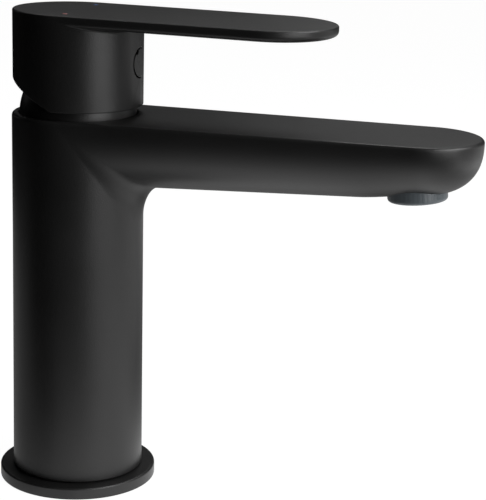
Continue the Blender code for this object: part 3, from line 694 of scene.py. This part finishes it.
def build_dots(red, blue):
    """Small filled marks on the lever's top, hot at -Y and cold at +Y."""
    low, edge, crown = LEVER_TOP - GAP, 0.00006, 0.00001
    outline = [(0, low), (DOT_R, low), (DOT_R, LEVER_TOP - edge), (DOT_R - edge, LEVER_TOP - crown),
               (DOT_R * 0.5, LEVER_TOP), (0, LEVER_TOP)]
    for name, side, finish, slot, node in (("hot_mark", -1, red, "red_mark", "hot_dot"),
                                           ("cold_mark", 1, blue, "blue_mark", "cold_dot")):
        dot = make(name, turned(outline, COARSE), finish, (DOT_X, side * DOT_Y, 0))
        finished(dot, "lever", slot, node)


def build_aerator(grey):
    """Outlet ring with shallow grip ribs, and the pierced face inside it.

    Heights run up from the outlet's rim, along the aerator's own axis.
    """
    place = (AERATOR_AT, (0, -AERATOR_TILT, 0))
    ribs, rib_depth, ribbed_from, blend = 40, 0.00004, 0.0096, 0.0003
    bore_r, rim_r, round_r, ring_top = 0.0084, 0.0088, 0.0011, 0.0075

    def ribbed(angle, radius):
        """Sinks a soft groove between ribs on the outer wall, fading out towards the rounded rim."""
        on_wall = min(max((radius - ribbed_from) / blend, 0.0), 1.0)
        return radius - rib_depth * on_wall * (0.5 + 0.5 * math.cos(ribs * angle)) ** 3

    outline = [(bore_r, 0.0005), (0.00855, 0.0001), (rim_r, 0)]
    outline += arc((rim_r, round_r), round_r, -84, -6, 9)
    outline += [(AERATOR_R, 0.0014), (AERATOR_R, 0.0030), (AERATOR_R, 0.0050), (AERATOR_R, ring_top),
                (bore_r, ring_top)]
    ring = make("aerator_ring", turned(outline, ribs * 8, ribbed), grey, *place)
    finished(ring, "root", "grey_plastic", "aerator_housing")

    insert_r, cup_r, floor, cup_top = bore_r - 0.0002, 0.0069, 0.0024, 0.0066
    face, bead = 0.0011, 0.0007
    face_outline = [(0, face - 0.0002), (0.0028, face - 0.00015), (0.0060, face), (0.0072, face),
                    (0.0075, bead), (insert_r - 0.0002, bead), (insert_r, bead + 0.0002), (insert_r, cup_top),
                    (cup_r, cup_top), (cup_r, floor), (0, floor)]
    insert = make("aerator_face", turned(face_outline, MEDIUM), grey, *place)
    jet_end = 0.004
    flare = [(0, 0), (0.00125, 0), (0.00095, 0.0013), (0.00085, jet_end), (0, jet_end)]
    jets = []
    for count, circle_r in ((1, 0.0), (6, 0.0026), (12, 0.0050)):
        for i in range(count):
            angle = 2 * math.pi * i / count
            jets.append(moved(turned(flare, 24), (circle_r * math.cos(angle), circle_r * math.sin(angle), 0)))
    cut(insert, [make("jets", merged(*jets), None, *place)])
    finished(insert, "root", "grey_plastic", "aerator_insert")


# ---------------------------------------------------------------- materials on the CAD nodes inside
def dress(node, finish):
    """Gives a carried-over CAD node its procedural material."""
    piece = frame["nodes"][node]
    piece.data.materials.clear()
    piece.data.materials.append(finish)


def dress_inside(black_rubber, grey):
    white = moulded("white_acetal", (0.76, 0.75, 0.72), (0.68, 0.67, 0.63), 0.40, 0.52)
    red = moulded("red_acetal", (0.55, 0.09, 0.07), (0.42, 0.06, 0.05), 0.42, 0.54)
    alumina = ceramic()
    brass = machined("turned_brass", (0.78, 0.58, 0.30), (0.62, 0.44, 0.20), 0.24, 0.36)
    steel = machined("turned_steel", (0.66, 0.66, 0.68), (0.52, 0.52, 0.54), 0.22, 0.34)
    finishes = {
        "rubber": (black_rubber, ["base_gasket", "hot_inlet_seal", "cold_inlet_seal", "cartridge_o_ring",
                                  "aerator_washer"]),
        "white_plastic": (white, ["cartridge_base", "cartridge_housing", "rotor", "disc_carrier"]),
        "red_plastic": (red, ["slip_washer", "hot_limit_ring"]),
        "ceramic": (alumina, ["fixed_ceramic_disc", "moving_ceramic_disc"]),
        "brass": (brass, ["cartridge_nut"]),
        "steel": (steel, ["spindle", "pivot_pin", "grub_screw"]),
    }
    for slot, (finish, nodes) in finishes.items():
        for node in nodes:
            dress(node, finish)
    dress("aerator_screen", woven_steel())


# ---------------------------------------------------------------- studio
def build_camera():
    """A long lens 0.23 m above the deck, in front of the tap and a little to the spout's side."""
    camera = bpy.data.objects.new("camera", bpy.data.cameras.new("camera"))
    bpy.context.scene.collection.objects.link(camera)
    camera.location = (0.20392, -0.53353, 0.23203)
    yaw, pitch, roll = 0.2646, 0.2558, 0.0268
    facing = Matrix.Rotation(yaw, 3, "Z") @ Matrix.Rotation(math.pi / 2 - pitch, 3, "X")
    camera.rotation_euler = (facing @ Matrix.Rotation(roll, 3, "Z")).to_euler()
    camera.data.sensor_width = 36.0
    camera.data.lens = 121.69
    camera.data.clip_start = 0.01
    bpy.context.scene.camera = camera


def area_light(name, at, target, width, height, radiance):
    """A rectangular light at a point, facing the target, with the given brightness of its face."""
    light = bpy.data.lights.new(name, "AREA")
    light.shape = "RECTANGLE"
    light.size, light.size_y = width, height
    light.energy = radiance * width * height * math.pi
    made = bpy.data.objects.new(name, light)
    bpy.context.scene.collection.objects.link(made)
    made.location = at
    made.rotation_euler = (Vector(target) - Vector(at)).to_track_quat("-Z", "Y").to_euler()


def build_softboxes():
    """Softboxes at one distance from the tap, facing it.

    Each stands at an angle round the tap from +X and above the deck, in degrees, and has a
    width in sides of the smallest one and a brightness.
    """
    centre, distance, side = Vector((0.03, 0.0, 0.09)), 0.9, 0.32
    softboxes = (("key_low", -30, 5, 2, 4.3), ("key_middle", -10, 25, 2, 1.8), ("key_high", -10, 45, 2, 8.5),
                 ("side_low", 30, 5, 2, 0.7), ("side_high", 30, 45, 2, 0.8), ("rear", 90, 45, 1, 2.9),
                 ("rear_left", 120, 45, 1, 1.2), ("rear_low", 90, 15, 1, 0.1), ("left_rim", 160, 15, 1, 0.13))
    for name, azimuth, elevation, sides, radiance in softboxes:
        around, up = math.radians(azimuth), math.radians(elevation)
        away = Vector((math.cos(around) * math.cos(up), math.sin(around) * math.cos(up), math.sin(up)))
        area_light(name, centre + away * distance, centre, sides * side, side, radiance)


def build_cards():
    """Bounce cards just under the floor, each with its centre, width, depth and brightness.

    They lie one under another, so that they add up where they overlap.
    """
    cards = (("card_near_1", 0.07, -0.02, 0.12, 0.10, 0.2), ("card_near_2", 0.07, -0.03, 0.16, 0.15, 0.2),
             ("card_near_3", 0.08, -0.04, 0.20, 0.20, 0.2), ("card_near_4", 0.09, -0.05, 0.26, 0.26, 0.15),
             ("card_near_5", 0.10, -0.06, 0.34, 0.34, 0.08), ("card_left", -0.14, 0.14, 0.44, 0.44, 0.3),
             ("card_middle", 0.21, 0.12, 0.20, 0.44, 0.55), ("card_right", 0.41, 0.14, 0.22, 0.44, 1.5),
             ("card_rear", 0.25, 0.62, 0.80, 0.50, 0.7))
    step = 0.001
    for layer, (name, x, y, width, depth, radiance) in enumerate(cards, 1):
        area_light(name, (x, y, flange_low.z - step * layer), (x, y, 1.0), width, depth, radiance)


def build_studio():
    """Pale floor and white surroundings, lit evenly and seen only by the camera."""
    bm = bmesh.new()
    bmesh.ops.create_circle(bm, cap_ends=True, segments=64, radius=3.0)
    g = Graph("pale_floor")
    mottle = g.noise(9, 3.0)
    g.set(base_color=g.blend(mottle, (0.04, 0.04, 0.04), (0.05, 0.05, 0.05)), roughness=0.9)
    g.set(emission_color=(1.0, 1.0, 1.0), emission_strength=0.98)
    floor = make("floor", bm, g.made, (0, 0, flange_low.z))
    floor.visible_diffuse = floor.visible_glossy = floor.visible_shadow = False
    build_softboxes()
    build_cards()

    world = bpy.data.worlds.new("studio")
    bpy.context.scene.world = world
    world.use_nodes = True
    tree = world.node_tree
    room = tree.nodes["Background"]
    room.inputs["Color"].default_value = (0.0, 0.0, 0.0, 1.0)
    backdrop = tree.nodes.new("ShaderNodeBackground")
    backdrop.inputs["Color"].default_value = (1.0, 1.0, 1.0, 1.0)
    seen = tree.nodes.new("ShaderNodeLightPath")
    mix = tree.nodes.new("ShaderNodeMixShader")
    tree.links.new(seen.outputs["Is Camera Ray"], mix.inputs["Fac"])
    tree.links.new(room.outputs["Background"], mix.inputs[1])
    tree.links.new(backdrop.outputs["Background"], mix.inputs[2])
    tree.links.new(mix.outputs["Shader"], tree.nodes["World Output"].inputs["Surface"])
    bpy.context.scene.view_settings.view_transform = "Standard"


# ---------------------------------------------------------------- assembly
def build():
    build_camera()
    black = matt_black()
    black_rubber = rubber()
    grey = moulded("blue_grey_plastic", (0.13, 0.15, 0.165), (0.10, 0.115, 0.125), 0.30, 0.40)
    build_body(black)
    build_flange(black)
    build_dome(black)
    build_lever(black)
    build_plug(black)
    build_dots(enamel("red_enamel", (0.55, 0.20, 0.19), (0.45, 0.14, 0.13)),
               enamel("blue_enamel", (0.09, 0.20, 0.50), (0.06, 0.14, 0.38)))
    build_aerator(grey)
    dress_inside(black_rubber, grey)
    build_studio()


build()
